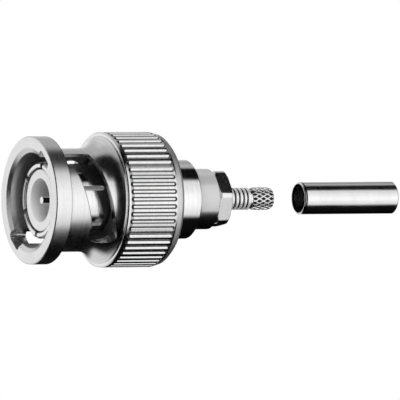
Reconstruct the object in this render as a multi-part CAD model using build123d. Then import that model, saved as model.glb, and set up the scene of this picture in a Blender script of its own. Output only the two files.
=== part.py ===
"""BNC cable plug with a crimp ferrule, in millimetres.

The plug's axis is +X. X = 0 is the mating face, the front of the coupling nut, and the
cable leaves towards +X. +Z is up. Angles round the axis start at -Y and rise towards +Z.
"""
from math import asin, cos, degrees, pi, radians, sin, sqrt
import os

from build123d import *

# Coupling nut, inside
BORE_DIAMETER = 9.88
BORE_CHAMFER = 0.45
BORE_CHAMFER_LENGTH = 0.3
BORE_DEPTH = 8.6
CAVITY_STEP = 0.81
CAVITY_DIAMETER = BORE_DIAMETER + 2 * CAVITY_STEP
CAVITY_CHAMFER = 0.35

# Coupling nut, outside
FLANGE_WALL = 1.68
FLANGE_DIAMETER = BORE_DIAMETER + 2 * FLANGE_WALL
FLANGE_THICKNESS = 1.8
FLANGE_EDGE = 0.1
BARREL_WALL = 0.4
BARREL_DIAMETER = BORE_DIAMETER + 2 * BARREL_WALL
GRIP_WALL = 1.25
GRIP_DIAMETER = CAVITY_DIAMETER + 2 * GRIP_WALL
GRIP_START = 8.05
GRIP_FRONT_EDGE = 0.1
FLARE_START = 5.6
FLARE_END = 7.95
FLARE_STEP = 0.4
FLARE_END_DIAMETER = GRIP_DIAMETER - 2 * FLARE_STEP
REAR_LIP = 0.37
REAR_CHAMFER_LENGTH = 0.72
REAR_CHAMFER_DEPTH = 0.2
REAR_ROUND = 0.4

# Grip grooves
GROOVES = 56
GROOVE_ROUND = 0.28
GROOVE_DEPTH = 0.18
GROOVE_LAND = 0.3
GROOVE_PHASE = 1.2

# Bayonet slots, two of them, half a turn apart
SLOTS = 2
ENTRY_ANGLE = 51.0
ENTRY_WIDTH = 2.4
LUG_ROOM = 0.91
ENTRY_DIAMETER = BORE_DIAMETER + 2 * LUG_ROOM
ENTRY_CORNER = 0.4
ENTRY_DEPTH = 5.2
CAM_FRONT_AT_ZERO = 4.22
CAM_FRONT_RISE = 0.0257
CAM_REAR_AT_ZERO = 6.85
CAM_REAR_RISE = 0.0195
CAM_OVERLAP = 0.8
DETENT_ANGLE = -38.0
DETENT_DIAMETER = 2.8
DETENT_PLACE = 6.24

# Nut retention: body flange, wave washer, thrust washer and retaining ring, front to rear
AXIAL_CLEARANCE = 0.05
RUNNING_CLEARANCE = 0.1
BODY_FLANGE_THICKNESS = 1.75
WAVE_HEIGHT = 1.4
WAVE_THICKNESS = 0.3
WAVES = 3
THRUST_THICKNESS = 0.5
RING_THICKNESS = 0.8
RING_BORE_CLEARANCE = 0.52
RING_GAP_ANGLE = 40.0
RING_SEAT_DEPTH = 0.4
RING_SEAT_CLEARANCE = 0.03

# Outer contact
CONTACT_TIP = 1.1
SOCKET_ROOM = 1.19
CONTACT_DIAMETER = BORE_DIAMETER - 2 * SOCKET_ROOM
CONTACT_WALL = 0.4
CONTACT_BORE_DIAMETER = CONTACT_DIAMETER - 2 * CONTACT_WALL
CONTACT_LIP_HEIGHT = 0.22
CONTACT_LIP_DIAMETER = CONTACT_DIAMETER + 2 * CONTACT_LIP_HEIGHT
CONTACT_LIP_LENGTH = 1.1
CONTACT_LIP_TAPER = 0.5
CONTACT_EDGE = 0.22
CONTACT_MOUTH_EDGE = 0.08
CONTACT_REAR_DEPTH = 2.35
FINGERS = 6
FINGER_PHASE = 20.0
FINGER_GAP = 0.5
FINGER_GAP_END = 6.9

# Main body
COLLAR_WALL = 0.35
COLLAR_DIAMETER = CONTACT_DIAMETER + 2 * COLLAR_WALL
COLLAR_SHOWN = 3.3
COLLAR_EDGE = 0.2
BODY_BORE_DIAMETER = 5.2

# Face gasket
GASKET_CLEARANCE = 0.24
GASKET_DIAMETER = BORE_DIAMETER - 2 * GASKET_CLEARANCE
GASKET_THICKNESS = 0.6

# Front insulator
INSULATOR_FACE = 1.28
INSULATOR_CLEARANCE = 0.15
INSULATOR_DIAMETER = CONTACT_BORE_DIAMETER - 2 * INSULATOR_CLEARANCE
INSULATOR_EDGE = 0.05
INSULATOR_WALL = 0.925
RECESS_DIAMETER = INSULATOR_DIAMETER - 2 * INSULATOR_WALL
RECESS_DEPTH = 5.3
INSULATOR_STEP = 7.2

# Centre contact
PIN_DIAMETER = 1.35
PIN_TIP = 1.45
PIN_TIP_DIAMETER = 0.75
PIN_TAPER = 1.4
PIN_COLLAR_DIAMETER = 2.6
PIN_COLLAR_THICKNESS = 0.4
PIN_REAR_DIAMETER = 1.9
PIN_REAR_LENGTH = 4.0
PIN_BORE_DIAMETER = 0.75
PIN_BORE_DEPTH = 3.2
PIN_SIGHT_HOLE = 0.5

# Rear insulator
REAR_INSULATOR_LENGTH = 4.6

# Crimp stem
SPIGOT_LENGTH = 1.3
STEM_COLLAR_DIAMETER = 6.28
STEM_COLLAR_LENGTH = 2.66
STEM_COLLAR_EDGE = 0.25
FLATS = 6
FLATS_ACROSS = 5.44
FLATS_CORNER_DIAMETER = 6.06
FLATS_LENGTH = 1.43
FLATS_EDGE = 0.12
FLATS_TURN = 8.4
STEM_DIAMETER = 2.34
STEM_LENGTH = 5.72
STEM_WALL = 0.37
CABLE_BORE_DIAMETER = STEM_DIAMETER - 2 * STEM_WALL
RINGS = 4
RING_PLACE = 1.2
RING_PITCH = 0.49
RING_GROOVE_DEPTH = 0.16
NECK_PLACE = 3.0
NECK_DEPTH = 0.12
NECK_DIAMETER = STEM_DIAMETER - 2 * NECK_DEPTH
NECK_LENGTH = 0.28
DIAMONDS_ROUND = 14
DIAMOND_LENGTH = 0.86
DIAMOND_HEIGHT = 0.13
DIAMOND_ROWS = 5
DIAMOND_TAPER = 25.0

# Crimp ferrule, drawn back on the cable's side
FERRULE_APART = 3.31
FERRULE_LENGTH = 10.94
BRAID_ROOM = 0.35
FERRULE_BORE_DIAMETER = STEM_DIAMETER + 2 * BRAID_ROOM
FERRULE_WALL = 0.15
FERRULE_DIAMETER = FERRULE_BORE_DIAMETER + 2 * FERRULE_WALL
FERRULE_EDGE = 0.1

# Axial places that follow from the sizes above
body_flange_start = BORE_DEPTH + AXIAL_CLEARANCE
body_flange_end = body_flange_start + BODY_FLANGE_THICKNESS
wave_start = body_flange_end + AXIAL_CLEARANCE
thrust_start = wave_start + WAVE_HEIGHT + AXIAL_CLEARANCE
ring_start = thrust_start + THRUST_THICKNESS + AXIAL_CLEARANCE
ring_end = ring_start + RING_THICKNESS
grip_rear_land = ring_end + REAR_LIP
nut_length = grip_rear_land + REAR_CHAMFER_LENGTH + REAR_ROUND
body_flange_diameter = CAVITY_DIAMETER - 2 * RUNNING_CLEARANCE
washer_bore_diameter = COLLAR_DIAMETER + 2 * RUNNING_CLEARANCE
contact_end = body_flange_start + CONTACT_REAR_DEPTH
insulator_end = contact_end
pin_collar_end = insulator_end + PIN_COLLAR_THICKNESS
rear_insulator_start = pin_collar_end
collar_end = nut_length + COLLAR_SHOWN
stem_collar_start = collar_end
spigot_start = stem_collar_start - SPIGOT_LENGTH
flats_start = stem_collar_start + STEM_COLLAR_LENGTH
flats_end = flats_start + FLATS_LENGTH
stem_end = flats_end + STEM_LENGTH
ferrule_start = stem_end + FERRULE_APART


def turned(points, angle=360):
    """A turned piece: (place along the axis, radius) points joined and revolved about X."""
    outline = make_face(Polyline(*points, close=True))
    return revolve(outline, Axis.X, angle)


def at_angle(shape, angle):
    """Turns a shape built on the -Y side round the axis, towards +Z."""
    return shape.rotate(Axis.X, -angle)


def on_cylinder(place, radius, angle):
    """The point at a place along the axis, a radius and an angle round it."""
    return Vector(place, -radius * cos(radians(angle)), radius * sin(radians(angle)))


def curve_on_cylinder(place_at, radius, start, end, steps=12):
    """A smooth curve on a cylinder, whose place along the axis follows the angle."""
    angles = [start + (end - start) * step / steps for step in range(steps + 1)]
    return Edge.make_spline([on_cylinder(place_at(angle), radius, angle) for angle in angles])


def cam_front(angle):
    """Place of the cam edge that draws the plug in, at an angle."""
    return CAM_FRONT_AT_ZERO - CAM_FRONT_RISE * angle


def cam_rear(angle):
    """Place of the slot's other edge, at an angle."""
    return CAM_REAR_AT_ZERO - CAM_REAR_RISE * angle


def cam_cutter(inner, outer, start, end):
    """The helical stretch of a bayonet slot, between its two edges."""
    edges = {}
    for name, place_at in (("front", cam_front), ("rear", cam_rear)):
        for side, radius in (("inner", inner), ("outer", outer)):
            edges[name, side] = curve_on_cylinder(place_at, radius, start, end)
    loop = [("front", "inner"), ("front", "outer"), ("rear", "outer"), ("rear", "inner")]
    faces = []
    for step, name in enumerate(loop):
        following = loop[(step + 1) % len(loop)]
        faces.append(Face.make_surface_from_curves(edges[name], edges[following]))
    for angle in (start, end):
        corners = [
            on_cylinder(cam_front(angle), inner, angle),
            on_cylinder(cam_front(angle), outer, angle),
            on_cylinder(cam_rear(angle), outer, angle),
            on_cylinder(cam_rear(angle), inner, angle),
        ]
        faces.append(Face(Wire.make_polygon(corners)))
    cutter = Solid(Shell(faces))
    return cutter if cutter.volume > 0 else -cutter


def bayonet_slot():
    """One bayonet slot: the axial entry, the helical cam and the round detent."""
    outer = GRIP_DIAMETER / 2
    inner = BORE_DIAMETER / 2 - 0.6
    entry_radius = ENTRY_DIAMETER / 2
    entry = Pos(ENTRY_DEPTH / 2 - 0.5, -entry_radius / 2, 0) * Box(
        ENTRY_DEPTH + 1, entry_radius, ENTRY_WIDTH
    )
    far_corners = entry.edges().filter_by(Axis.X).group_by(Axis.Y)[0]
    entry = at_angle(fillet(far_corners, ENTRY_CORNER), ENTRY_ANGLE)
    half_entry = degrees(asin(ENTRY_WIDTH / BARREL_DIAMETER))
    cam_start = ENTRY_ANGLE + half_entry - CAM_OVERLAP
    cam = cam_cutter(inner, outer, cam_start, DETENT_ANGLE)
    detent = Pos(DETENT_PLACE, -(inner + outer) / 2, 0) * Rot(90, 0, 0) * Cylinder(
        DETENT_DIAMETER / 2, outer - inner
    )
    return [entry, cam, at_angle(detent, DETENT_ANGLE)]


def grip_grooves():
    """The straight grooves of the grip, round in section and at both ends."""
    radius = GRIP_DIAMETER / 2
    start = GRIP_START + GROOVE_LAND
    middle = (start + grip_rear_land) / 2
    half_width = sqrt(GROOVE_ROUND**2 - (GROOVE_ROUND - GROOVE_DEPTH) ** 2)
    half_rod = (grip_rear_land - start) / 2 - half_width
    rod = Pos(middle, 0, 0) * Rot(0, 90, 0) * Cylinder(GROOVE_ROUND, 2 * half_rod)
    for place in (middle - half_rod, middle + half_rod):
        rod += Pos(place, 0, 0) * Sphere(GROOVE_ROUND)
    rod = Pos(0, -(radius + GROOVE_ROUND - GROOVE_DEPTH), 0) * rod
    return [at_angle(rod, GROOVE_PHASE + 360 / GROOVES * number) for number in range(GROOVES)]


def coupling_nut():
    """The nut: front flange, slotted barrel, flared shoulder and grooved grip."""
    flange = FLANGE_DIAMETER / 2
    barrel = BARREL_DIAMETER / 2
    flare = FLARE_END_DIAMETER / 2
    grip = GRIP_DIAMETER / 2
    bore = BORE_DIAMETER / 2
    cavity = CAVITY_DIAMETER / 2
    chamfer_end = grip_rear_land + REAR_CHAMFER_LENGTH
    rear_radius = grip - REAR_CHAMFER_DEPTH
    flare_run = FLARE_END - FLARE_START
    flare_rise = flare - barrel
    flare_radius = (flare_run**2 + flare_rise**2) / (2 * flare_rise)
    half_turn = asin(flare_run / flare_radius) / 2
    flare_middle = (
        FLARE_START + flare_radius * sin(half_turn),
        barrel + flare_radius * (1 - cos(half_turn)),
    )
    outline = [
        Polyline(
            (0, bore + BORE_CHAMFER),
            (0, flange - FLANGE_EDGE),
            (FLANGE_EDGE, flange),
            (FLANGE_THICKNESS, flange),
            (FLANGE_THICKNESS, barrel),
            (FLARE_START, barrel),
        ),
        ThreePointArc((FLARE_START, barrel), flare_middle, (FLARE_END, flare)),
        Polyline(
            (FLARE_END, flare),
            (GRIP_START, flare),
            (GRIP_START, grip - GRIP_FRONT_EDGE),
            (GRIP_START + GRIP_FRONT_EDGE, grip),
            (grip_rear_land, grip),
            (chamfer_end, rear_radius),
            (nut_length, rear_radius - REAR_ROUND),
            (nut_length, cavity + CAVITY_CHAMFER),
            (nut_length - CAVITY_CHAMFER, cavity),
            (ring_end + RING_SEAT_CLEARANCE, cavity),
            (ring_end + RING_SEAT_CLEARANCE, cavity + RING_SEAT_DEPTH),
            (ring_start - RING_SEAT_CLEARANCE, cavity + RING_SEAT_DEPTH),
            (ring_start - RING_SEAT_CLEARANCE, cavity),
            (BORE_DEPTH, cavity),
            (BORE_DEPTH, bore),
            (BORE_CHAMFER_LENGTH, bore),
            (0, bore + BORE_CHAMFER),
        ),
    ]
    nut = revolve(make_face(outline), Axis.X, 360)
    for number in range(SLOTS):
        for tool in bayonet_slot():
            nut -= tool.rotate(Axis.X, 360 / SLOTS * number)
    return nut.cut(*grip_grooves())


def retaining_ring():
    """The open ring snapped into the nut, behind the thrust washer."""
    outer = CAVITY_DIAMETER / 2 + RING_SEAT_DEPTH - RING_SEAT_CLEARANCE
    inner = COLLAR_DIAMETER / 2 + RING_BORE_CLEARANCE
    ring = turned(
        [(ring_start, inner), (ring_end, inner), (ring_end, outer), (ring_start, outer)],
        360 - RING_GAP_ANGLE,
    )
    return ring.rotate(Axis.X, 90 + RING_GAP_ANGLE / 2)


def flat_washer(start, thickness):
    """A flat washer between the body's sleeve and the nut's cavity."""
    inner = washer_bore_diameter / 2
    outer = body_flange_diameter / 2
    end = start + thickness
    return turned([(start, inner), (end, inner), (end, outer), (start, outer)])


def wave_washer():
    """The spring washer: a flat ring bent into waves, its crests on the faces beside it."""
    inner = washer_bore_diameter / 2
    outer = body_flange_diameter / 2 - RUNNING_CLEARANCE
    swing = (WAVE_HEIGHT - WAVE_THICKNESS) / 2
    turns = 12 * WAVES

    def ripple(radius, offset):
        points = []
        for step in range(turns):
            angle = 360 * step / turns
            place = wave_start + offset + swing * (1 + sin(radians(WAVES * angle)))
            points.append(on_cylinder(place, radius, angle))
        return Edge.make_spline(points, periodic=True)

    loop = [
        ripple(inner, 0),
        ripple(outer, 0),
        ripple(outer, WAVE_THICKNESS),
        ripple(inner, WAVE_THICKNESS),
    ]
    faces = []
    for step, edge in enumerate(loop):
        faces.append(Face.make_surface_from_curves(edge, loop[(step + 1) % len(loop)]))
    washer = Solid(Shell(faces))
    return washer if washer.volume > 0 else -washer


def main_body():
    """The body: the flange inside the nut and the sleeve that shows behind it."""
    flange = body_flange_diameter / 2
    collar = COLLAR_DIAMETER / 2
    seat = CONTACT_DIAMETER / 2
    bore = BODY_BORE_DIAMETER / 2
    return turned(
        [
            (body_flange_start, seat),
            (body_flange_start, flange),
            (body_flange_end, flange),
            (body_flange_end, collar),
            (collar_end - COLLAR_EDGE, collar),
            (collar_end, collar - COLLAR_EDGE),
            (collar_end, bore),
            (contact_end, bore),
            (contact_end, seat),
        ]
    )


def face_gasket():
    """The soft ring on the body's front face, which the socket's rim presses."""
    inner = CONTACT_DIAMETER / 2
    outer = GASKET_DIAMETER / 2
    start = body_flange_start - GASKET_THICKNESS
    round_off = GASKET_THICKNESS / 4
    return turned(
        [
            (start, inner),
            (start, outer - round_off),
            (start + round_off, outer),
            (body_flange_start, outer),
            (body_flange_start, inner),
        ]
    )


def outer_contact():
    """The sprung sleeve, slotted into fingers, with a thick lip at its mouth."""
    lip = CONTACT_LIP_DIAMETER / 2
    shank = CONTACT_DIAMETER / 2
    bore = CONTACT_BORE_DIAMETER / 2
    lip_end = CONTACT_TIP + CONTACT_LIP_LENGTH
    sleeve = turned(
        [
            (CONTACT_TIP, bore + CONTACT_MOUTH_EDGE),
            (CONTACT_TIP, lip - CONTACT_EDGE),
            (CONTACT_TIP + CONTACT_EDGE, lip),
            (lip_end, lip),
            (lip_end + CONTACT_LIP_TAPER, shank),
            (contact_end, shank),
            (contact_end, bore),
            (CONTACT_TIP + CONTACT_MOUTH_EDGE, bore),
        ]
    )
    length = FINGER_GAP_END - CONTACT_TIP + FINGER_GAP
    gap = extrude(
        Plane.XZ.offset(bore / 2)
        * Pos(FINGER_GAP_END - length / 2, 0)
        * SlotOverall(length, FINGER_GAP),
        lip,
    )
    gap += Pos(CONTACT_TIP, -bore / 2 - lip / 2, 0) * Box(2 * FINGER_GAP, lip, FINGER_GAP)
    gaps = [at_angle(gap, FINGER_PHASE + 360 / FINGERS * number) for number in range(FINGERS)]
    return sleeve.cut(*gaps)


def front_insulator():
    """The white insulator, with the recess round the pin that takes the socket's core."""
    front = INSULATOR_DIAMETER / 2
    rear = CONTACT_BORE_DIAMETER / 2
    recess = RECESS_DIAMETER / 2
    pin = PIN_DIAMETER / 2
    recess_end = INSULATOR_FACE + RECESS_DEPTH
    return turned(
        [
            (INSULATOR_FACE, recess),
            (INSULATOR_FACE, front - INSULATOR_EDGE),
            (INSULATOR_FACE + INSULATOR_EDGE, front),
            (INSULATOR_STEP, front),
            (INSULATOR_STEP, rear),
            (insulator_end, rear),
            (insulator_end, pin),
            (recess_end, pin),
            (recess_end, recess),
        ]
    )


def centre_contact():
    """The pin, with a collar behind the insulator and a hollow end for the wire."""
    pin = PIN_DIAMETER / 2
    tip = PIN_TIP_DIAMETER / 2
    collar = PIN_COLLAR_DIAMETER / 2
    rear = PIN_REAR_DIAMETER / 2
    hole = PIN_BORE_DIAMETER / 2
    rear_end = pin_collar_end + PIN_REAR_LENGTH
    contact = turned(
        [
            (PIN_TIP, 0),
            (PIN_TIP, tip),
            (PIN_TIP + PIN_TAPER, pin),
            (insulator_end, pin),
            (insulator_end, collar),
            (pin_collar_end, collar),
            (pin_collar_end, rear),
            (rear_end, rear),
            (rear_end, hole),
            (rear_end - PIN_BORE_DEPTH, hole),
            (rear_end - PIN_BORE_DEPTH, 0),
        ]
    )
    sight_hole = Pos(rear_end - PIN_BORE_DEPTH + PIN_SIGHT_HOLE, -rear / 2, 0) * Rot(90, 0, 0)
    return contact - sight_hole * Cylinder(PIN_SIGHT_HOLE / 2, rear)


def rear_insulator():
    """The bead that centres the pin's rear end in the body."""
    outer = BODY_BORE_DIAMETER / 2
    inner = PIN_REAR_DIAMETER / 2
    end = rear_insulator_start + REAR_INSULATOR_LENGTH
    mouth = CABLE_BORE_DIAMETER / 2
    throat = pin_collar_end + PIN_REAR_LENGTH
    return turned(
        [
            (rear_insulator_start, inner),
            (rear_insulator_start, outer),
            (end, outer),
            (end, mouth),
            (throat, mouth),
            (throat, inner),
        ]
    )


def stem_outline():
    """The stem piece's turned outline, from its spigot to the cable end."""
    bore = CABLE_BORE_DIAMETER / 2
    spigot = BODY_BORE_DIAMETER / 2
    collar = STEM_COLLAR_DIAMETER / 2
    corner = FLATS_CORNER_DIAMETER / 2
    stem = STEM_DIAMETER / 2
    neck = NECK_DIAMETER / 2
    neck_start = flats_end + NECK_PLACE
    points = [
        (spigot_start, bore),
        (spigot_start, spigot),
        (stem_collar_start, spigot),
        (stem_collar_start, collar),
        (flats_start - STEM_COLLAR_EDGE, collar),
        (flats_start, collar - STEM_COLLAR_EDGE),
        (flats_start, corner - FLATS_EDGE),
        (flats_start + FLATS_EDGE, corner),
        (flats_end - FLATS_EDGE, corner),
        (flats_end, corner - FLATS_EDGE),
        (flats_end, stem),
    ]
    for number in range(RINGS):
        place = flats_end + RING_PLACE + RING_PITCH * number
        points.append((place - RING_GROOVE_DEPTH, stem))
        points.append((place, stem - RING_GROOVE_DEPTH))
        points.append((place + RING_GROOVE_DEPTH, stem))
    root = stem - DIAMOND_HEIGHT
    points += [
        (neck_start, stem),
        (neck_start, neck),
        (neck_start + NECK_LENGTH, neck),
        (neck_start + NECK_LENGTH, root),
        (stem_end, root),
        (stem_end, bore),
    ]
    return points


def stem_diamonds():
    """The diamonds of the stem's crossed knurl, in staggered rows."""
    root = STEM_DIAMETER / 2 - DIAMOND_HEIGHT
    width = pi * STEM_DIAMETER / DIAMONDS_ROUND
    first = flats_end + NECK_PLACE + NECK_LENGTH + DIAMOND_LENGTH / 2
    last = stem_end - DIAMOND_LENGTH / 2
    lift = 0.05
    diamonds = []
    for row in range(DIAMOND_ROWS):
        place = first + (last - first) * row / (DIAMOND_ROWS - 1)
        outline = Plane.XZ.offset(root - lift) * Pos(place, 0) * Polygon(
            (-DIAMOND_LENGTH / 2, 0), (0, -width / 2), (DIAMOND_LENGTH / 2, 0), (0, width / 2)
        )
        diamond = extrude(outline, DIAMOND_HEIGHT + lift, taper=DIAMOND_TAPER)
        for number in range(DIAMONDS_ROUND):
            turn = 360 / DIAMONDS_ROUND * (number + 0.5 * (row % 2))
            diamonds.append(at_angle(diamond, turn))
    return diamonds


def crimp_stem():
    """The rear piece: spigot, collar, spanner flats and the knurled stem for the braid."""
    stem = turned(stem_outline())
    side = FLATS_CORNER_DIAMETER
    block = Pos((flats_start + flats_end) / 2, 0, 0) * Box(FLATS_LENGTH, side, side)
    hexagon = extrude(
        Plane.YZ.offset(flats_start)
        * RegularPolygon(FLATS_ACROSS / 2, FLATS, major_radius=False),
        FLATS_LENGTH,
    )
    stem -= at_angle(block - hexagon, FLATS_TURN)
    return stem.fuse(*stem_diamonds())


def crimp_ferrule():
    """The thin tube that is crimped over the braid."""
    outer = FERRULE_DIAMETER / 2
    bore = FERRULE_BORE_DIAMETER / 2
    end = ferrule_start + FERRULE_LENGTH
    return turned(
        [
            (ferrule_start, bore),
            (ferrule_start, outer - FERRULE_EDGE),
            (ferrule_start + FERRULE_EDGE, outer),
            (end - FERRULE_EDGE, outer),
            (end, outer - FERRULE_EDGE),
            (end, bore),
        ]
    )


def main():
    """Builds every piece and writes one STEP file for each."""
    os.makedirs("parts", exist_ok=True)
    pieces = {
        "coupling_nut": coupling_nut(),
        "retaining_ring": retaining_ring(),
        "thrust_washer": flat_washer(thrust_start, THRUST_THICKNESS),
        "wave_washer": wave_washer(),
        "main_body": main_body(),
        "face_gasket": face_gasket(),
        "outer_contact": outer_contact(),
        "front_insulator": front_insulator(),
        "centre_contact": centre_contact(),
        "rear_insulator": rear_insulator(),
        "crimp_stem": crimp_stem(),
        "crimp_ferrule": crimp_ferrule(),
    }
    for name, piece in pieces.items():
        export_step(piece, f"parts/{name}.step")
        print(f"{name}: {len(piece.solids())} solid, {piece.volume:.2f} mm3")


main()
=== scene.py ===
# %% [markdown]
# # A bayonet cable plug, dressed for its picture
# The plug's pieces come from a CAD model with their true shapes and places. Modelling them
# again here could only make them differ from it, so this script leaves them as they are. It
# lights them the way a studio lights bright metal, gives every piece its finish, and makes the
# two pieces anew that a plain solid can't show: one is too fine for it, and one bends.

# %% Load the frame
import math

import bpy
import numpy as np
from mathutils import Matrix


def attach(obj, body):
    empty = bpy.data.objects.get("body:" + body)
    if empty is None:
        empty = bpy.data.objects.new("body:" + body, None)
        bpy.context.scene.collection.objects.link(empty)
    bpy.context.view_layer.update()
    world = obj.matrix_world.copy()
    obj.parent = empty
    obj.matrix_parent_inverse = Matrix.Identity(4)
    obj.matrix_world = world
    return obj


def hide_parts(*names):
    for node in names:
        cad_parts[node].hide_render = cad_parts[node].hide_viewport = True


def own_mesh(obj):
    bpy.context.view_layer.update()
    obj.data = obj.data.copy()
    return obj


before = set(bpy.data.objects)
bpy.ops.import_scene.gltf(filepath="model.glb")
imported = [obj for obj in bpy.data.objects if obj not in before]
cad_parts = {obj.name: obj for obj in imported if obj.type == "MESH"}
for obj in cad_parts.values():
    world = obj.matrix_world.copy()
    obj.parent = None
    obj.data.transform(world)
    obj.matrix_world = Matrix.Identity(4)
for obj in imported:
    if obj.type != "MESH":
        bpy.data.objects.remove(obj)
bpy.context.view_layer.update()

MM = 0.001

# %% [markdown]
# ## Where the camera stands
# The photograph was taken from far away with a long lens, which we can tell because near and
# far circles of the plug look equally round. A camera with parallel rays would do too, but a
# real lens keeps the faint narrowing, so this one stands a metre and a half off. The plug's
# axis points away to the right, 26.6 degrees out of the picture plane, and the camera is
# slightly above it.

# %% Camera
PICTURE = 400
PIXELS_PER_MM = 9.7
SENSOR_WIDTH = 36.0
CAMERA_DISTANCE = 1.5
CAMERA_AZIMUTH = math.radians(-26.6)
CAMERA_ELEVATION = math.radians(0.9)
FACE_CENTRE_COLUMN = 28.9
FACE_CENTRE_ROW = 200.4

camera_back = np.array([
    math.sin(CAMERA_AZIMUTH) * math.cos(CAMERA_ELEVATION),
    -math.cos(CAMERA_AZIMUTH) * math.cos(CAMERA_ELEVATION),
    math.sin(CAMERA_ELEVATION),
])
camera_right = np.array([math.cos(CAMERA_AZIMUTH), math.sin(CAMERA_AZIMUTH), 0.0])
camera_up = np.cross(camera_back, camera_right)


def add_camera():
    """Places the camera so that the centre of the plug's front face lands on its pixel."""
    data = bpy.data.cameras.new("camera")
    data.sensor_width = SENSOR_WIDTH
    data.lens = PIXELS_PER_MM / MM * CAMERA_DISTANCE / PICTURE * SENSOR_WIDTH
    data.clip_start = 0.01
    data.clip_end = 20.0
    camera = bpy.data.objects.new("camera", data)
    bpy.context.collection.objects.link(camera)
    across = (PICTURE / 2 - FACE_CENTRE_COLUMN) / PIXELS_PER_MM * MM
    down = (PICTURE / 2 - FACE_CENTRE_ROW) / PIXELS_PER_MM * MM
    aim = camera_right * across - camera_up * down
    matrix = np.eye(4)
    matrix[:3, 0], matrix[:3, 1], matrix[:3, 2] = camera_right, camera_up, camera_back
    matrix[:3, 3] = aim + camera_back * CAMERA_DISTANCE
    camera.matrix_world = matrix.T.tolist()
    bpy.context.scene.camera = camera
    print("camera at", np.round(matrix[:3, 3], 4), "lens", round(data.lens, 1))


add_camera()
bpy.context.scene.view_settings.view_transform = "Standard"

# %% [markdown]
# ## A painted dome for the metal to reflect
# Bright plating has hardly any colour of its own: it shows the room. In the picture the metal
# is white where it faces the camera's side, black in a band above that and again underneath,
# and pale grey on top, as it is among the white and black cards of a studio. Lamps alone could
# only give small highlights, and real cards would need moving for every band. So a big dome
# stands round the plug, painted with those cards, and only reflections see it: it gives no
# light to dull surfaces, throws no shadow and stays out of the picture.


# %% Helpers for meshes and materials
def make_mesh(name, points, faces, smooth=True):
    """A mesh object at the origin from an (n, 3) array in metres and rows of corner numbers."""
    mesh = bpy.data.meshes.new(name)
    corners = [list(map(int, face)) for face in faces]
    mesh.from_pydata(np.asarray(points, dtype=float).tolist(), [], corners)
    mesh.polygons.foreach_set("use_smooth", [smooth] * len(mesh.polygons))
    mesh.update()
    piece = bpy.data.objects.new(name, mesh)
    bpy.context.collection.objects.link(piece)
    return piece


def grid_faces(rows, columns, wrap_rows=False, wrap_columns=False):
    """Corner numbers of the quads of a rows by columns grid, closed round where asked."""
    i = np.arange(rows if wrap_rows else rows - 1)
    j = np.arange(columns if wrap_columns else columns - 1)
    i, j = np.meshgrid(i, j, indexing="ij")
    after_i, after_j = (i + 1) % rows, (j + 1) % columns
    corners = [i * columns + j, after_i * columns + j]
    corners += [after_i * columns + after_j, i * columns + after_j]
    return np.stack(corners, axis=-1).reshape(-1, 4)


def new_material(name):
    """A material, its node tree and its Principled shader."""
    material = bpy.data.materials.new(name)
    material.use_nodes = True
    return material, material.node_tree, material.node_tree.nodes["Principled BSDF"]


# %% Soft edges
def ramp(value, start, end):
    """0 up to start, 1 from end on, and a smooth S between: t * t * (3 - 2 t)."""
    t = np.clip((value - start) / (end - start), 0.0, 1.0)
    return t * t * (3.0 - 2.0 * t)


def between(value, rise_start, rise_end, fall_start, fall_end):
    """1 between two soft edges, 0 outside them."""
    return ramp(value, rise_start, rise_end) * (1.0 - ramp(value, fall_start, fall_end))


# %% [markdown]
# The cards are given by angles in degrees. turn goes round the plug's axis: 0 towards -Y, 90
# overhead, 180 behind. lean is the angle out of the plane across the axis, towards the cable.
# side and height are those of a compass: side is 0 towards -Y and 90 towards the plug's front.
# Four numbers say where a card starts, is full, starts to end and has ended.

# %% The room's cards
WALL = 0.86
FRONT_GLOW, FRONT_GLOW_TURN = 0.3, (-52, -8, 2, 50)
BACK_GLOW, BACK_GLOW_TURN = 0.12, (164, 174)
BLACK, NEARLY_BLACK = 0.995, 0.97
ABOVE_START, ABOVE_FULL, ABOVE_FADE, ABOVE_END = 51, 64, 98, 112
ABOVE_LEAN = (-72, -54)
ABOVE_DIP, DIP_LEAN = 14, (-60, -48, -14, 0)
PALE, PALE_TURN = 0.4, (98, 112, 150, 172)
FLARE_TOP, FLARE_TOP_LEAN, FLARE_TOP_TURN = 0.7, (-10, 10), (120, 136)
BELOW_TURN = (-58, -43)
BELOW_GAP, REAR_GAP_TURN = 0.9, (-180, -170)
LOW_GAP_TURN, LOW_GAP_LEAN = (-135, -115), (8, 20)
FRONT_CARD = ((38, 48, 84, 92), (-75, -60, 38, 52))
LOW_CARD = ((84, 92, 112, 124), (-70, -55, -14, -4))
END_CARD = ((-150, -135, -90, -75), (-60, -45, 30, 50))


def card(side, height, spans):
    """1 inside a card that spans some side angles and some heights."""
    return between(side, *spans[0]) * between(height, *spans[1])


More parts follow.
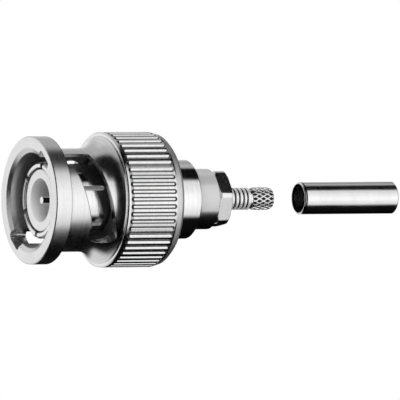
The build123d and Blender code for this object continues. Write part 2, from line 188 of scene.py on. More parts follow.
def room_shade(x, y, z):
    """How bright the room is in a direction, from 0 to a little over 1."""
    turn = np.degrees(np.arctan2(z, -y))
    lean = np.degrees(np.arctan2(x, np.sqrt(y * y + z * z)))
    side = np.degrees(np.arctan2(-x, -y))
    height = np.degrees(np.arcsin(np.clip(z / np.sqrt(x * x + y * y + z * z), -1, 1)))
    shade = WALL + FRONT_GLOW * between(turn, *FRONT_GLOW_TURN)
    shade += BACK_GLOW * ramp(np.abs(turn), *BACK_GLOW_TURN)
    dip = ABOVE_DIP * between(lean, *DIP_LEAN)
    above = between(turn, ABOVE_START - dip, ABOVE_FULL - dip, ABOVE_FADE, ABOVE_END)
    above *= ramp(lean, *ABOVE_LEAN)
    pale = between(turn, *PALE_TURN)
    pale *= 1.0 - FLARE_TOP * (1.0 - ramp(lean, *FLARE_TOP_LEAN)) * ramp(turn, *FLARE_TOP_TURN)
    below = 1.0 - ramp(turn, *BELOW_TURN)
    below *= 1.0 - BELOW_GAP * (1.0 - ramp(turn, *REAR_GAP_TURN))
    below *= 1.0 - BELOW_GAP * (1.0 - ramp(turn, *LOW_GAP_TURN)) * (1.0 - ramp(lean, *LOW_GAP_LEAN))
    front = np.clip(card(side, height, FRONT_CARD) + card(side, height, LOW_CARD), 0, 1)
    shade *= (1.0 - BLACK * above) * (1.0 - PALE * pale) * (1.0 - BLACK * below)
    return shade * (1.0 - BLACK * front) * (1.0 - NEARLY_BLACK * card(side, height, END_CARD))


# %% The dome
DOME_RADIUS = 0.5
DOME_STEPS = (121, 240)


def dome_mesh():
    """A sphere round the plug: rings of points from pole to pole, with a fan at each pole."""
    polar = np.linspace(0.0, math.pi, DOME_STEPS[0])[1:-1]
    turn = np.linspace(-math.pi, math.pi, DOME_STEPS[1], endpoint=False)
    p, t = np.meshgrid(polar, turn, indexing="ij")
    rings = np.stack([-np.cos(p), -np.sin(p) * np.cos(t), np.sin(p) * np.sin(t)], axis=-1)
    points = np.vstack([rings.reshape(-1, 3), [[-1.0, 0.0, 0.0], [1.0, 0.0, 0.0]]])
    count, around = len(points), len(turn)
    first = np.arange(around)
    after = (first + 1) % around
    last = (len(polar) - 1) * around
    faces = grid_faces(len(polar), around, wrap_columns=True).tolist()
    faces += np.stack([np.full(around, count - 2), first, after], axis=-1).tolist()
    faces += np.stack([np.full(around, count - 1), last + after, last + first], axis=-1).tolist()
    return points, faces


def add_dome():
    """The dome, with the room's shade as a value at each point that its paint gives back."""
    points, faces = dome_mesh()
    dome = make_mesh("painted_dome", points * DOME_RADIUS, faces)
    shade = dome.data.attributes.new("shade", "FLOAT", "POINT")
    shade.data.foreach_set("value", room_shade(*points.T).astype(np.float32))
    material, tree, shader = new_material("painted_dome")
    tree.nodes.remove(shader)
    read = tree.nodes.new("ShaderNodeAttribute")
    read.attribute_name = "shade"
    paint = tree.nodes.new("ShaderNodeEmission")
    tree.links.new(read.outputs["Fac"], paint.inputs["Strength"])
    tree.links.new(paint.outputs[0], tree.nodes["Material Output"].inputs["Surface"])
    dome.data.materials.append(material)
    for sees in ("camera", "diffuse", "shadow", "transmission", "volume_scatter"):
        setattr(dome, "visible_" + sees, False)
    print("dome of", len(points), "points")


add_dome()

# %% [markdown]
# ## Floor, room and lamps
# The plug is held by its socket or cable, so the floor lies well below it. A white background
# could be had by lighting the floor until it is white, but that would bleach the plug too. So
# rays from the camera and reflections see the floor and the room as plain white, while other
# rays see them at the modest level that lights the dull pieces about as their colours are
# written.

# %% Seen as white
FLOOR_DEPTH, FLOOR_SIZE, FLOOR_GREY, FLOOR_ROUGHNESS = 0.06, 8.0, 0.9, 0.9
ROOM_LIGHT = 0.55
WHITE = (1.0, 1.0, 1.0, 1.0)


def seen_white(tree, base, output, white_node):
    """Mixes a shader with plain white for rays from the camera, gloss and glass."""
    path = tree.nodes.new("ShaderNodeLightPath")
    seen = path.outputs["Is Camera Ray"]
    for other in ("Is Glossy Ray", "Is Transmission Ray"):
        either = tree.nodes.new("ShaderNodeMath")
        either.operation = "MAXIMUM"
        tree.links.new(seen, either.inputs[0])
        tree.links.new(path.outputs[other], either.inputs[1])
        seen = either.outputs[0]
    white = tree.nodes.new(white_node)
    white.inputs["Color"].default_value = WHITE
    white.inputs["Strength"].default_value = 1.0
    mix = tree.nodes.new("ShaderNodeMixShader")
    for place, term in enumerate((seen, base, white.outputs[0])):
        tree.links.new(term, mix.inputs[place])
    tree.links.new(mix.outputs[0], output.inputs["Surface"])


# %% Floor and room
def add_floor():
    """A wide pale floor, well below the plug."""
    half = FLOOR_SIZE / 2
    corners = [(x, y, -FLOOR_DEPTH) for x, y in ((-half, -half), (half, -half), (half, half), (-half, half))]
    floor = make_mesh("floor", corners, [(0, 1, 2, 3)], smooth=False)
    material, tree, shader = new_material("floor")
    shader.inputs["Base Color"].default_value = (FLOOR_GREY, FLOOR_GREY, FLOOR_GREY, 1.0)
    shader.inputs["Roughness"].default_value = FLOOR_ROUGHNESS
    shader.inputs["Specular IOR Level"].default_value = 0.0
    seen_white(tree, shader.outputs[0], tree.nodes["Material Output"], "ShaderNodeEmission")
    floor.data.materials.append(material)
    floor.visible_glossy = False
    print("floor", FLOOR_DEPTH, "m down")


def add_room():
    """The world: white to the eye, and a modest even light on everything."""
    world = bpy.data.worlds.new("room")
    world.use_nodes = True
    tree = world.node_tree
    light = tree.nodes["Background"]
    light.inputs["Color"].default_value = WHITE
    light.inputs["Strength"].default_value = ROOM_LIGHT
    seen_white(tree, light.outputs[0], tree.nodes["World Output"], "ShaderNodeBackground")
    bpy.context.scene.world = world
    print("room light", ROOM_LIGHT)


add_floor()
add_room()

# %% Lamps
PLUG_MIDDLE = np.array([0.015, 0.0, 0.0])
LAMPS = {  # azimuth and elevation in degrees, distance and size in metres, power in watts
    "key_lamp": (-40, 45, 0.5, 0.3, 1.6),
    "fill_lamp": (50, 20, 0.6, 0.4, 0.8),
}


def add_lamp(name, azimuth, elevation, distance, size, power):
    """A square soft lamp that looks at the plug from a direction."""
    data = bpy.data.lights.new(name, "AREA")
    data.size = size
    data.energy = power
    lamp = bpy.data.objects.new(name, data)
    bpy.context.collection.objects.link(lamp)
    a, e = math.radians(azimuth), math.radians(elevation)
    back = np.array([math.sin(a) * math.cos(e), -math.cos(a) * math.cos(e), math.sin(e)])
    side = np.array([math.cos(a), math.sin(a), 0.0])
    matrix = np.eye(4)
    matrix[:3, 0], matrix[:3, 1], matrix[:3, 2] = side, np.cross(back, side), back
    matrix[:3, 3] = back * distance + PLUG_MIDDLE
    lamp.matrix_world = matrix.T.tolist()
    lamp.visible_glossy = False


for lamp_name, lamp_values in LAMPS.items():
    add_lamp(lamp_name, *lamp_values)
print("lamps", ", ".join(LAMPS))

# %% [markdown]
# ## Finishes
# Nearly every visible piece is turned brass under bright nickel. Three things make it look
# real rather than like a mirror: rings left by the turning tool, small scratches and smudges
# that change the roughness, and bores that are duller than the outside. Pictures of worn metal
# could be wrapped round the pieces, but they would need seams and blur close up. So the marks
# are worked out from each point's own place, in node groups that every material can use with
# its own amounts.


# %% Node helpers
def group_with(name, inputs, outputs):
    """An empty shader node group with named float sockets; each input has its default."""
    tree = bpy.data.node_groups.new(name, "ShaderNodeTree")
    for label, default in inputs:
        socket = tree.interface.new_socket(label, in_out="INPUT", socket_type="NodeSocketFloat")
        socket.default_value = default
    for label in outputs:
        tree.interface.new_socket(label, in_out="OUTPUT", socket_type="NodeSocketFloat")
    return tree, tree.nodes.new("NodeGroupInput"), tree.nodes.new("NodeGroupOutput")


def give(tree, socket, term):
    """Puts a number on a socket, or links an output to it."""
    if isinstance(term, (int, float)):
        socket.default_value = term
    else:
        tree.links.new(term, socket)


def maths(tree, operation, *terms):
    """A Math node; each term is a number or an output to link."""
    node = tree.nodes.new("ShaderNodeMath")
    node.operation = operation
    for number, term in enumerate(terms):
        give(tree, node.inputs[number], term)
    return node.outputs[0]


def object_place(tree):
    """A point's place on the piece as a vector, and its x, y and z, in metres."""
    coordinate = tree.nodes.new("ShaderNodeTexCoord")
    split = tree.nodes.new("ShaderNodeSeparateXYZ")
    tree.links.new(coordinate.outputs["Object"], split.inputs[0])
    return coordinate.outputs["Object"], *split.outputs


def radius_of(tree, y, z):
    """Distance from the plug's axis: the root of y squared plus z squared."""
    squares = maths(tree, "ADD", maths(tree, "MULTIPLY", y, y), maths(tree, "MULTIPLY", z, z))
    return maths(tree, "SQRT", squares)


def stretch(tree, value, start, end):
    """1 where a value lies between two others, 0 elsewhere."""
    above = maths(tree, "GREATER_THAN", value, start)
    return maths(tree, "MULTIPLY", above, maths(tree, "LESS_THAN", value, end))


def fading(tree, value, start, end):
    """1 up to a start, then falling evenly to 0 at an end."""
    node = tree.nodes.new("ShaderNodeMapRange")
    terms = {"Value": value, "From Min": start, "From Max": end, "To Min": 1.0, "To Max": 0.0}
    for label, term in terms.items():
        give(tree, node.inputs[label], term)
    return node.outputs[0]


def noise(tree, vector, scale, detail=3.0, roughness=0.5):
    """A noise texture's value at a vector."""
    node = tree.nodes.new("ShaderNodeTexNoise")
    node.inputs["Scale"].default_value = scale
    node.inputs["Detail"].default_value = detail
    node.inputs["Roughness"].default_value = roughness
    tree.links.new(vector, node.inputs["Vector"])
    return node.outputs["Fac"]


# %% [markdown]
# A turning tool leaves rings, because it only ever moves along the axis and across it. Noise
# that reads just these two measures makes rings on every turned face, round or flat. The
# ferrule is a drawn tube instead, whose streaks run along it: there the noise hardly changes
# along x. Smudges and grain come from handling and plating and have no direction.

# %% Marks of the tool, smudges and grain
RING_SCALES = (9000.0, 3600.0)
STREAK_SCALES, STREAK_PULL = (5000.0, 2200.0), 0.04
SMUDGE_SCALE, GRAIN_SCALE = 420.0, 6000.0


def marks_group(name, terms, scales, details):
    """A group that puts out the bump and the tone of marks, as noise of up to three terms."""
    tree, _, out = group_with(name, [], ["Height", "Mask"])
    _, x, y, z = object_place(tree)
    join = tree.nodes.new("ShaderNodeCombineXYZ")
    for number, term in enumerate(terms(tree, x, y, z)):
        tree.links.new(term, join.inputs[number])
    for label, scale, detail in zip(("Height", "Mask"), scales, details):
        tree.links.new(noise(tree, join.outputs[0], scale, detail), out.inputs[label])
    return tree


def ring_terms(tree, x, y, z):
    """The place along the axis and the radius."""
    return x, radius_of(tree, y, z)


def streak_terms(tree, x, y, z):
    """The place, drawn out along the axis."""
    return maths(tree, "MULTIPLY", x, STREAK_PULL), y, z


def handling():
    """Soft smudges and a fine grain, both from noise in three dimensions."""
    tree, _, out = group_with("handling", [], ["Smudge", "Grain"])
    place = object_place(tree)[0]
    tree.links.new(noise(tree, place, SMUDGE_SCALE, 4.0, 0.6), out.inputs["Smudge"])
    tree.links.new(noise(tree, place, GRAIN_SCALE, 3.0, 0.6), out.inputs["Grain"])
    return tree


# %% [markdown]
# Bores, grooves and pits lie in shade and hold less plate than the outside. Their shade is
# painted into the plate's grey. They could be given materials of their own, but a turned
# piece is one mesh, and cutting it up would show. So a mask says from the radius and the
# place along the axis which points lie in them.

# %% Bores and zones
BORE_FADE = 0.1 * MM


def bore_depth():
    """1 inside a given radius, 0 outside it, with a tenth of a millimetre between."""
    tree, inp, out = group_with("bore_depth", [("Radius", 0.005)], ["Inside"])
    _, _, y, z = object_place(tree)
    start = maths(tree, "SUBTRACT", inp.outputs["Radius"], BORE_FADE)
    tree.links.new(fading(tree, radius_of(tree, y, z), start, inp.outputs["Radius"]), out.inputs["Inside"])
    return tree


def zone():
    """1 between two radii and two places along the axis, within a height of it, 0 elsewhere."""
    sockets = [("Inner", 0.0), ("Outer", 0.001), ("Soft", 0.00004)]
    sockets += [("Start", 0.0), ("End", 0.1), ("Height", 1.0)]
    tree, inp, out = group_with("zone", sockets, ["Inside"])
    _, x, y, z = object_place(tree)
    radius = radius_of(tree, y, z)
    soft_start = maths(tree, "SUBTRACT", inp.outputs["Outer"], inp.outputs["Soft"])
    inside = fading(tree, radius, soft_start, inp.outputs["Outer"])
    limits = (
        maths(tree, "GREATER_THAN", radius, inp.outputs["Inner"]),
        stretch(tree, x, inp.outputs["Start"], inp.outputs["End"]),
        maths(tree, "LESS_THAN", maths(tree, "ABSOLUTE", z), inp.outputs["Height"]),
    )
    for limit in limits:
        inside = maths(tree, "MULTIPLY", inside, limit)
    tree.links.new(inside, out.inputs["Inside"])
    return tree


# %% [markdown]
# The nut's two bayonet slots are milled, so their walls cut across the turned form. The walls
# get painted shade, and a painted shadow line runs along the slots' front edges. The walls are
# found by their direction, the front edge by the spiral that it follows.

# %% Slot walls and shaded edge
WALL_SHARE = 0.35
CAM_FRONT, CAM_RISE, CAM_WIDTH, CAM_FLOOR = 4.22, 0.0257, 0.1, 5.2
CAM_SECTOR = (-30.0, 50.0)


def side_wall():
    """1 on walls that cut across the turned form within a stretch of the axis, 0 elsewhere.

    A turned face leans towards or away from the axis, so its normal has a part along the
    radius. A slot's wall hardly has one: |normal . radius| / radius is near 0.
    """
    tree, inp, out = group_with("side_wall", [("Start", 0.0), ("End", 0.1)], ["Wall"])
    _, x, y, z = object_place(tree)
    coordinate = tree.nodes.new("ShaderNodeTexCoord")
    split = tree.nodes.new("ShaderNodeSeparateXYZ")
    tree.links.new(coordinate.outputs["Normal"], split.inputs[0])
    upward = maths(tree, "MULTIPLY", split.outputs[2], z)
    along = maths(tree, "MULTIPLY_ADD", split.outputs[1], y, upward)
    share = maths(tree, "ABSOLUTE", maths(tree, "DIVIDE", along, radius_of(tree, y, z)))
    across = maths(tree, "LESS_THAN", share, WALL_SHARE)
    within = stretch(tree, x, inp.outputs["Start"], inp.outputs["End"])
    tree.links.new(maths(tree, "MULTIPLY", across, within), out.inputs["Wall"])
    return tree


def cam_edge():
    """1 along the front edge of each bayonet slot, where a shadow line is painted, 0 elsewhere.

    The edge runs at place = front - rise * turn in millimetres and degrees, with the turn
    taken within half a circle because there are two slots.
    """
    sockets = [("Front", CAM_FRONT), ("Rise", CAM_RISE), ("Width", CAM_WIDTH)]
    tree, inp, out = group_with("cam_edge", sockets, ["Edge"])
    _, x, y, z = object_place(tree)
    turn = maths(tree, "ARCTAN2", z, maths(tree, "MULTIPLY", y, -1.0))
    turn = maths(tree, "MULTIPLY_ADD", turn, 180.0 / math.pi, 90.0)
    turn = maths(tree, "SUBTRACT", maths(tree, "FLOORED_MODULO", turn, 180.0), 90.0)
    rise = maths(tree, "MULTIPLY", turn, inp.outputs["Rise"])
    edge = maths(tree, "SUBTRACT", inp.outputs["Front"], rise)
    before = maths(tree, "SUBTRACT", edge, maths(tree, "DIVIDE", x, MM))
    near = stretch(tree, before, 0.0, inp.outputs["Width"])
    outer = maths(tree, "GREATER_THAN", radius_of(tree, y, z), CAM_FLOOR * MM)
    sector = maths(tree, "MULTIPLY", outer, stretch(tree, turn, *CAM_SECTOR))
    tree.links.new(maths(tree, "MULTIPLY", near, sector), out.inputs["Edge"])
    return tree


# %% Build the groups
GROUPS = {
    "rings": marks_group("turning_marks", ring_terms, RING_SCALES, (2.0, 2.0)),
    "streaks": marks_group("drawn_marks", streak_terms, STREAK_SCALES, (2.0, 3.0)),
    "handling": handling(),
    "bore": bore_depth(),
    "zone": zone(),
    "wall": side_wall(),
    "cam": cam_edge(),
}


def use_group(tree, name, **values):
    """A node of one of the shared effects, with its values."""
    node = tree.nodes.new("ShaderNodeGroup")
    node.node_tree = GROUPS[name]
    for label, value in values.items():
        node.inputs[label].default_value = value
    return node


print("node groups", ", ".join(GROUPS))


# %% Colour and bump
BUMP_DISTANCE = 0.02 * MM


def blend_colours(tree, mask, dark, light):
    """A colour between two greys, by a mask from 0 to 1."""
    mix = tree.nodes.new("ShaderNodeMix")
    mix.data_type = "RGBA"
    tree.links.new(mask, mix.inputs["Factor"])
    mix.inputs["A"].default_value = (dark, dark, dark, 1.0)
    mix.inputs["B"].default_value = (light, light, light, 1.0)
    return mix.outputs["Result"]


def darken(tree, mask, colour, grey):
    """The colour where a mask is 0, a dark grey where it is 1."""
    mix = tree.nodes.new("ShaderNodeMix")
    mix.data_type = "RGBA"
    tree.links.new(mask, mix.inputs["Factor"])
    tree.links.new(colour, mix.inputs["A"])
    mix.inputs["B"].default_value = (grey, grey, grey, 1.0)
    return mix.outputs["Result"]


def add_bump(tree, shader, height, strength):
    """A fine relief on a shader, and its node so that another normal can go under it."""
    bump = tree.nodes.new("ShaderNodeBump")
    bump.inputs["Strength"].default_value = strength
    bump.inputs["Distance"].default_value = BUMP_DISTANCE
    tree.links.new(height, bump.inputs["Height"])
    tree.links.new(bump.outputs["Normal"], shader.inputs["Normal"])
    return bump


# %% [markdown]
# ### Bright plate
# The plate is one metal with many small differences. Its roughness swings with smudges and
# rings, and some stretches were left satin or frosted. Painted shade darkens its grey in bores,
# grooves and slots. Its edges are broken by tumbling: a real bevel on every edge would be a
# great many faces, so the shader bends the normal near each edge instead.

# %% What changes over the plate
SMUDGE_SWING, RING_SWING = 0.16, 0.08
TONE_MIDDLE, TONE_SWING = 0.7, 0.9
DARK_TONE, LIGHT_TONE = 0.75, 1.08
# Grey of the painted shade on the slots' walls, and the share of the plate's grey kept in the painted shadow
# line along their front edges.
SLOT_WALL_SHADE_GREY, EDGE_SHADE_SHARE = 0.25, 0.5
GRAIN_SHARE = 0.6
BROKEN_EDGE, EDGE_SAMPLES = 0.06 * MM, 8


def frosted_metal(tree, matt):
    """Metallic: 1, but only the given share in the frosted stretches above a height; below it the metal
    stays a mirror, as painted shade on the underside.
    """
    metal = 1.0
    for start, end, lowest, share in matt:
        _, x, _, z = object_place(tree)
        higher = maths(tree, "GREATER_THAN", z, lowest * MM)
        inside = maths(tree, "MULTIPLY", higher, stretch(tree, x, start * MM, end * MM))
        metal = maths(tree, "MULTIPLY_ADD", inside, share - 1.0, metal)
    return metal


def plate_roughness(tree, wear, tool, roughness, bore, bore_roughness, satin):
    """The mean roughness, plus swings for smudges and marks, plus steps for duller places."""
    rough = roughness
    for mask, swing in ((wear.outputs["Smudge"], SMUDGE_SWING), (tool.outputs["Mask"], RING_SWING)):
        rough = maths(tree, "MULTIPLY_ADD", maths(tree, "SUBTRACT", mask, 0.5), swing, rough)
    if bore_roughness:
        rough = maths(tree, "MULTIPLY_ADD", bore.outputs["Inside"], bore_roughness - roughness, rough)
    for start, end, duller in satin:
        inside = stretch(tree, object_place(tree)[1], start * MM, end * MM)
        rough = maths(tree, "MULTIPLY_ADD", inside, duller - roughness, rough)
    return rough


def plate_colour(tree, wear, tool, grey, bore, bore_shade_grey, slot, zones):
    """The plate's grey with its tone from smudges and marks, darkened place by place, mostly as painted
    shade.
    """
    tone = maths(tree, "ADD", wear.outputs["Smudge"], tool.outputs["Mask"])
    tone = maths(tree, "MULTIPLY_ADD", maths(tree, "SUBTRACT", tone, 1.0), TONE_SWING, TONE_MIDDLE)
    colour = blend_colours(tree, tone, grey * DARK_TONE, grey * LIGHT_TONE)
    # Painted shade inside the bore.
    if bore:
        colour = darken(tree, bore.outputs["Inside"], colour, bore_shade_grey)
    if slot:
        # Painted shade on the slots' walls, and a painted shadow line along their front edges.
        wall = use_group(tree, "wall", Start=slot[0] * MM, End=slot[1] * MM)
        colour = darken(tree, wall.outputs["Wall"], colour, SLOT_WALL_SHADE_GREY)
        colour = darken(tree, use_group(tree, "cam").outputs["Edge"], colour, grey * EDGE_SHADE_SHARE)
    for start, end, inner, outer, height, dark in zones:
        place = use_group(tree, "zone", Start=start * MM, End=end * MM, Inner=inner * MM,
                          Outer=outer * MM, Height=height * MM)
        colour = darken(tree, place.outputs["Inside"], colour, dark)
    return colour


# %% Plated metal
def plated(
    name, grey, roughness, marks=0.2, made="rings", bore_radius=None, bore_shade_grey=0.3,
    bore_roughness=None, slot=None, zones=(), satin=(), matt=(),
):
    """Bright plate on turned metal: rings and grain in the bump, smudges in the roughness.

    made names the marks: the rings of turning or the streaks of a drawn tube. Within
    bore_radius the plate's grey gets painted shade, and the plate is duller where
    bore_roughness is given. slot is the stretch (start, end) whose slot walls get painted shade
    and whose slots' front edges get a painted shadow line. zones lists (start, end, inner
    radius, outer radius, half height, grey) where the plate's grey is darkened, mostly as
    painted shade; satin lists stretches (start, end, roughness) that were left duller, and
    matt lists stretches (start, end, lowest z, share) with a frosted skin, where only that
    share of the light is mirrored; below the lowest z the metal stays a mirror, so an
    underside keeps a dark reflection as painted shade. All are in millimetres.
    """
    material, tree, shader = new_material(name)
    wear, tool = use_group(tree, "handling"), use_group(tree, made)
    bore = use_group(tree, "bore", Radius=bore_radius * MM) if bore_radius else None
    shader.inputs["Metallic"].default_value = 1.0
    if matt:
        tree.links.new(frosted_metal(tree, matt), shader.inputs["Metallic"])
    rough = plate_roughness(tree, wear, tool, roughness, bore, bore_roughness, satin)
    tree.links.new(rough, shader.inputs["Roughness"])
    colour = plate_colour(tree, wear, tool, grey, bore, bore_shade_grey, slot, zones)
    tree.links.new(colour, shader.inputs["Base Color"])
    relief = maths(tree, "MULTIPLY_ADD", wear.outputs["Grain"], GRAIN_SHARE, tool.outputs["Height"])
    bump = add_bump(tree, shader, relief, marks)
    broken = tree.nodes.new("ShaderNodeBevel")
    broken.samples = EDGE_SAMPLES
    broken.inputs["Radius"].default_value = BROKEN_EDGE
    tree.links.new(broken.outputs["Normal"], bump.inputs["Normal"])
    return material


# %% [markdown]
# ### White insulator and dark gasket
# The insulators are turned from white fluoropolymer, a satin plastic. Round the pin the front
# one has a recess that lies in deeper shade as it gets deeper. Scattering of light in the
# plastic would be truer, but at this size it only costs time, so that shade is painted into
# the white by depth. The gasket is moulded silicone: dark, with a fine dull skin.

# %% White insulator and dark gasket
# Painted shade in the recess round the pin: it deepens from the recess's front to its grey.
RECESS_RADIUS, RECESS_SOFT, RECESS_START, RECESS_END = 2.4, 0.02, 1.29, 7.0
RECESS_FADE_START, RECESS_FADE_END, RECESS_POWER, RECESS_SHADE_GREY = 1.28, 3.48, 2.5, 0.46


def recess_shade_mask(tree):
    """How much painted shade the recess gets: 1 - fade ** power within it, 0 outside."""
    recess = use_group(tree, "zone", Outer=RECESS_RADIUS * MM, Soft=RECESS_SOFT * MM,
                       Start=RECESS_START * MM, End=RECESS_END * MM)
    fade = fading(tree, object_place(tree)[1], RECESS_FADE_START * MM, RECESS_FADE_END * MM)
    deep = maths(tree, "SUBTRACT", 1.0, maths(tree, "POWER", fade, RECESS_POWER))
    return maths(tree, "MINIMUM", recess.outputs["Inside"], deep)


def soft_white(name, grey):
    """Turned white plastic: satin, with fine rings, and painted shade in the recess."""
    material, tree, shader = new_material(name)
    wear = use_group(tree, "handling")
    colour = blend_colours(tree, wear.outputs["Smudge"], grey * 0.94, grey)
    # Painted shade, darker with depth, in the recess round the pin.
    colour = darken(tree, recess_shade_mask(tree), colour, RECESS_SHADE_GREY)
    tree.links.new(colour, shader.inputs["Base Color"])
    shader.inputs["Roughness"].default_value = 0.45
    add_bump(tree, shader, use_group(tree, "rings").outputs["Height"], 0.25)
    return material


def dark_rubber(name):
    """Moulded silicone: dark, with a fine dull skin."""
    material, tree, shader = new_material(name)
    wear = use_group(tree, "handling")
    colour = blend_colours(tree, wear.outputs["Smudge"], 0.02, 0.05)
    tree.links.new(colour, shader.inputs["Base Color"])
    shader.inputs["Roughness"].default_value = 0.6
    add_bump(tree, shader, wear.outputs["Grain"], 0.2)
    return material


# %% [markdown]
# ## The crimp stem
# Behind the body comes one turned piece: a collar, a hexagon for a spanner, a thin stem with
# four ring grooves, and a knurled drum that bites into the cable's braid. The knurl is a net
# of raised lines round diamond pits, too fine for the CAD solid. It could be cut with hundreds
# of small wedges, but each cut may leave slivers. So all of it is one surface: every point has
# a place along the axis and an angle, and a radius that follows from both.

# %% Stem sizes, in millimetres
SPIGOT_START, COLLAR_START, FLATS_START, FLATS_END, STEM_END = 16.74, 18.04, 20.70, 22.13, 27.85
SPIGOT_RADIUS, COLLAR_RADIUS, COLLAR_FRONT_EDGE, COLLAR_EDGE = 2.6, 3.14, 0.06, 0.25
CORNER_RADIUS, FLAT_RADIUS, FLATS_TURN = 3.03, 2.72, 8.4
CORNER_RUN, CORNER_DROP, CORNER_STEPS = 0.15, 0.22, 6
STEM_RADIUS, BORE_RADIUS, BORE_EDGE = 1.17, 0.8, 0.05
RING_PLACES = (23.33, 23.82, 24.31, 24.76)
RING_HALF, RING_DEPTH = 0.15, 0.17
RING_FORM = ((-1.25, 0.0), (-0.95, 0.06), (0.0, 1.0), (0.95, 0.06), (1.25, 0.0))
NECK_START, NECK_FULL, NECK_RADIUS = 0.3, 0.22, 1.02
DRUM_START, DRUM_END_DROP, DRUM_ROUND, DRUM_STEPS = 25.41, 0.17, 0.6, 84
PITS_ROUND, PIT_PITCH, PIT_PLACE, PIT_DEPTH, RIDGE_HALF = 14, 0.92, 25.64, 0.2, 0.24
STEPS_PER_PIT, SHARP_ANGLE = 16, 32
print("hexagon", 2 * FLAT_RADIUS, "mm across flats, stem", 2 * STEM_RADIUS, "mm")


# %% The stem's turned outline and its angles


def stem_profile():
    """The turned outline as rows of (place, radius), a closed loop from the bore's front."""
    rows = [(SPIGOT_START, BORE_RADIUS), (SPIGOT_START, SPIGOT_RADIUS), (COLLAR_START, SPIGOT_RADIUS)]
    rows += [(COLLAR_START, COLLAR_RADIUS - COLLAR_FRONT_EDGE)]
    rows += [(COLLAR_START + COLLAR_FRONT_EDGE, COLLAR_RADIUS)]
    rows += [(FLATS_START - COLLAR_EDGE, COLLAR_RADIUS), (FLATS_START, COLLAR_RADIUS - COLLAR_EDGE)]
    step = np.linspace(0.0, 1.0, CORNER_STEPS)
    rows += list(zip(FLATS_START + CORNER_RUN * step, CORNER_RADIUS - CORNER_DROP * (1 - step)))
    rows += list(zip(FLATS_END - CORNER_RUN * (1 - step), CORNER_RADIUS - CORNER_DROP * step))
    rows += [(FLATS_END, STEM_RADIUS)]
    for place in RING_PLACES:
        rows += [(place + RING_HALF * shift, STEM_RADIUS - RING_DEPTH * depth) for shift, depth in RING_FORM]
    rows += [(DRUM_START - NECK_START, STEM_RADIUS), (DRUM_START - NECK_FULL, NECK_RADIUS)]
    rows += [(DRUM_START, NECK_RADIUS)]
    along = np.linspace(DRUM_START, STEM_END, DRUM_STEPS)
    from_end = np.minimum(along - DRUM_START, STEM_END - along)
    drop = DRUM_END_DROP * (1.0 - np.clip(from_end / DRUM_ROUND, 0, 1)) ** 2
    rows += list(zip(along, STEM_RADIUS - drop))
    rows += [(STEM_END, BORE_RADIUS + BORE_EDGE), (STEM_END - BORE_EDGE, BORE_RADIUS)]
    return np.array(rows)


def stem_angles():
    """Angles round the stem: an even set, and the edges of the hexagon's turned corners."""
    steps = PITS_ROUND * STEPS_PER_PIT
    even = np.arange(steps) * 360.0 / steps
    half_land = 30.0 - math.degrees(math.acos(FLAT_RADIUS / CORNER_RADIUS))
    corners = FLATS_TURN + 60.0 * np.arange(6)
    angles = np.unique(np.round(np.concatenate([even, corners - half_land, corners + half_land]), 3))
    return np.radians(angles)


# %% The stem's surface
def stem_radius(along, turned, angle):
    """The radius at a place and an angle.

    On the hexagon it is the smaller of the turned radius and flat / cos(angle from the flat's
    middle). On the drum a pit lies in each cell between two crossed families of lines, where
    place / pitch + and - angle * pits / turn are whole numbers; the ground rises to a line
    as (1 - distance / half width), smoothed.
    """
    from_flat = (np.degrees(angle) - FLATS_TURN) % 60.0 - 30.0
    flat = FLAT_RADIUS / np.cos(np.radians(from_flat))
    on_flats = (along >= FLATS_START) & (along <= FLATS_END) & (turned > FLAT_RADIUS - 0.05)
    on_flats &= turned < CORNER_RADIUS + 1e-6
    radius = np.where(on_flats, np.minimum(turned, flat), turned)
    rise = (along - PIT_PLACE) / PIT_PITCH + 0.5
    pits = angle * PITS_ROUND / (2 * math.pi)
    from_lines = [np.abs((rise + way * pits + 0.5) % 1.0 - 0.5) for way in (1, -1)]
    pit = ramp(np.minimum(*from_lines), 0.5 * RIDGE_HALF, 1.25 * RIDGE_HALF)
    on_drum = (along >= DRUM_START) & (turned > NECK_RADIUS + 1e-6) | (along > DRUM_START + 0.01)
    on_drum &= turned > BORE_RADIUS + 0.06
    return radius - np.where(on_drum, PIT_DEPTH * pit, 0.0)


def add_stem():
    """The whole stem piece as one closed surface."""
    profile, angle = stem_profile(), stem_angles()
    along, a = np.meshgrid(profile[:, 0], angle, indexing="ij")
    turned, _ = np.meshgrid(profile[:, 1], angle, indexing="ij")
    r = stem_radius(along, turned, a)
    points = np.stack([along, -r * np.cos(a), r * np.sin(a)], axis=-1).reshape(-1, 3) * MM
    stem = make_mesh("stem_piece", points, grid_faces(len(profile), len(angle), True, True))
    stem.data.set_sharp_from_angle(angle=math.radians(SHARP_ANGLE))
    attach(stem, "plug")
    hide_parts("crimp_stem")
    print("stem of", len(stem.data.polygons), "faces")
    return stem


stem_piece = add_stem()

# %% [markdown]
# ## The wave washer
# Inside the nut a thin steel ring, bent into three waves, pushes the nut back. When the nut
# is drawn forward the ring flattens, which no rigid solid can show. Two solids, one waved and
# one flat, would jump from one to the other. So the ring is a surface here, a small section
# carried round on a wave, with a mesh of its own.

# %% Wave washer
WAVE_START, WAVE_SWING, WAVE_THICKNESS, WAVES = 10.45, 0.55, 0.3, 3
WAVE_INNER, WAVE_OUTER, WAVE_EDGE = 4.2, 5.55, 0.05
WAVE_STEPS, WAVE_SHARP_ANGLE = 144, 50


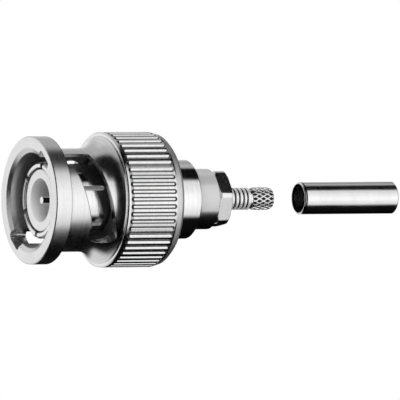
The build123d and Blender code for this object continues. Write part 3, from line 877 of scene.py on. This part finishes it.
def add_wave_washer():
    """A ring whose place along the axis is start + swing * (1 + sin(waves * angle))."""
    angle = np.linspace(0.0, 2 * math.pi, WAVE_STEPS, endpoint=False)
    inside, outside, top = WAVE_INNER + WAVE_EDGE, WAVE_OUTER - WAVE_EDGE, WAVE_THICKNESS - WAVE_EDGE
    section = [(WAVE_INNER, WAVE_EDGE), (inside, 0.0), (outside, 0.0), (WAVE_OUTER, WAVE_EDGE)]
    section += [(WAVE_OUTER, top), (outside, WAVE_THICKNESS), (inside, WAVE_THICKNESS), (WAVE_INNER, top)]
    radius, lift = np.array(section).T
    r, a = np.meshgrid(radius, angle, indexing="ij")
    h, _ = np.meshgrid(lift, angle, indexing="ij")
    along = WAVE_START + h + WAVE_SWING * (1 + np.sin(WAVES * a))
    points = np.stack([along, -r * np.cos(a), r * np.sin(a)], axis=-1).reshape(-1, 3) * MM
    faces = grid_faces(len(radius), len(angle), True, True)[:, ::-1]
    washer = make_mesh("wave_spring", points, faces)
    washer.data.set_sharp_from_angle(angle=math.radians(WAVE_SHARP_ANGLE))
    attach(washer, "plug")
    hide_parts("wave_washer")
    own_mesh(washer)
    print("wave washer of", len(washer.data.polygons), "faces")
    return washer


wave_spring = add_wave_washer()

# %% [markdown]
# ## Which piece gets which finish
# The coupling nut shows most: its front is a little satin from use, painted shade darkens the
# bottoms of the grip's grooves and the slots' walls, and its rear edge is rough. The stem's
# small collar is frosted above its underside, which stays a dark mirror as painted shade, and
# its neck is frosted all round. The ferrule is a bright drawn tube. One shared plate for all
# of them would look like one casting, so each piece has its own grey, roughness and marks.

# %% Finish of the nut
nut_finish = plated(
    "nut_nickel", 0.8, 0.15, marks=0.14, bore_radius=4.99, bore_shade_grey=0.45, bore_roughness=0.42,
    slot=(1.95, 7.8),
    zones=(
        # Painted shade in the grip's grooves, within 3 mm of the axis's height.
        (8.36, 13.75, 6.84, 6.99, 3.0, 0.3),
        # Painted shadow, nearly black, at the front end of each of the grip's grooves.
        (8.36, 8.72, 6.0, 7.02, 9.0, 0.02),
        # Painted shade line at the rear edge of the nut's front flange.
        (1.7, 1.8, 6.3, 9.0, 9.0, 0.5),
        # Painted shade, nearly black, on the nut's inner wall under the flare, within 2.4 mm of the axis's
        # height.
        (5.6, 8.4, 4.96, 5.31, 2.4, 0.06),
    ),
    satin=((-0.01, 6.2, 0.28), (6.2, 8.0, 0.2), (13.8, 14.7, 0.5)),
)

# %% Finish of the crimp stem and the ferrule
stem_finish = plated(
    "stem_nickel", 0.8, 0.2, bore_radius=0.85, bore_shade_grey=0.2,
    zones=(
        # Painted shade, nearly black, in the floors of the stem's ring grooves.
        (23.0, 25.0, 0.0, 1.12, 9.0, 0.03),
        # Painted shade, nearly black, in the pits of the drum's knurl.
        (25.42, 27.8, 0.0, 1.05, 9.0, 0.03),
        (18.0, 20.72, 2.7, 9.0, 9.0, 0.55),
        # Painted shade line at the collar's front edge, where it meets the body.
        (18.0, 18.18, 2.7, 9.0, 9.0, 0.12),
    ),
    satin=((18.0, 20.75, 0.24),),
    # The collar is frosted only above 1.25 mm below the axis: its underside stays a dark mirror, as painted
    # shade.
    matt=((18.0, 20.72, -1.25, 0.35), (22.2, 25.2, -9.0, 0.5)),
)
ferrule_finish = plated(
    "ferrule_nickel", 0.82, 0.18, marks=0.3, made="streaks", bore_radius=1.5, bore_shade_grey=0.05,
    # The ferrule's rear rim is darkened to nearly black.
    zones=((31.27, 31.46, 1.5, 9.0, 9.0, 0.03),),
)

# %% Give every piece its finish
FINISHES = {
    "coupling_nut": nut_finish,
    "retaining_ring": plated("ring_steel", 0.35, 0.3),
    "thrust_washer": plated("washer_nickel", 0.5, 0.3),
    "wave_washer": plated("wave_steel", 0.45, 0.3),
    "main_body": plated("body_nickel", 0.84, 0.13),
    "face_gasket": dark_rubber("gasket"),
    "outer_contact": plated("contact_plate", 0.84, 0.12, bore_radius=3.4),
    "front_insulator": soft_white("insulator", 0.86),
    # Painted dark reflection: a nearly black band along the pin's side in its recess, within 0.27 mm of the
    # axis's height.
    "centre_contact": plated("pin_plate", 0.85, 0.18, zones=((1.48, 6.5, 0.0, 2.0, 0.27, 0.02),)),
    "rear_insulator": soft_white("rear_insulator", 0.8),
    "crimp_stem": stem_finish,
    "crimp_ferrule": ferrule_finish,
}
MADE_HERE = {"crimp_stem": stem_piece, "wave_washer": wave_spring}
for node, material in FINISHES.items():
    for piece in (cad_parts[node], MADE_HERE.get(node)):
        if piece:
            piece.data.materials.clear()
            piece.data.materials.append(material)
print("finished", len(FINISHES), "pieces")
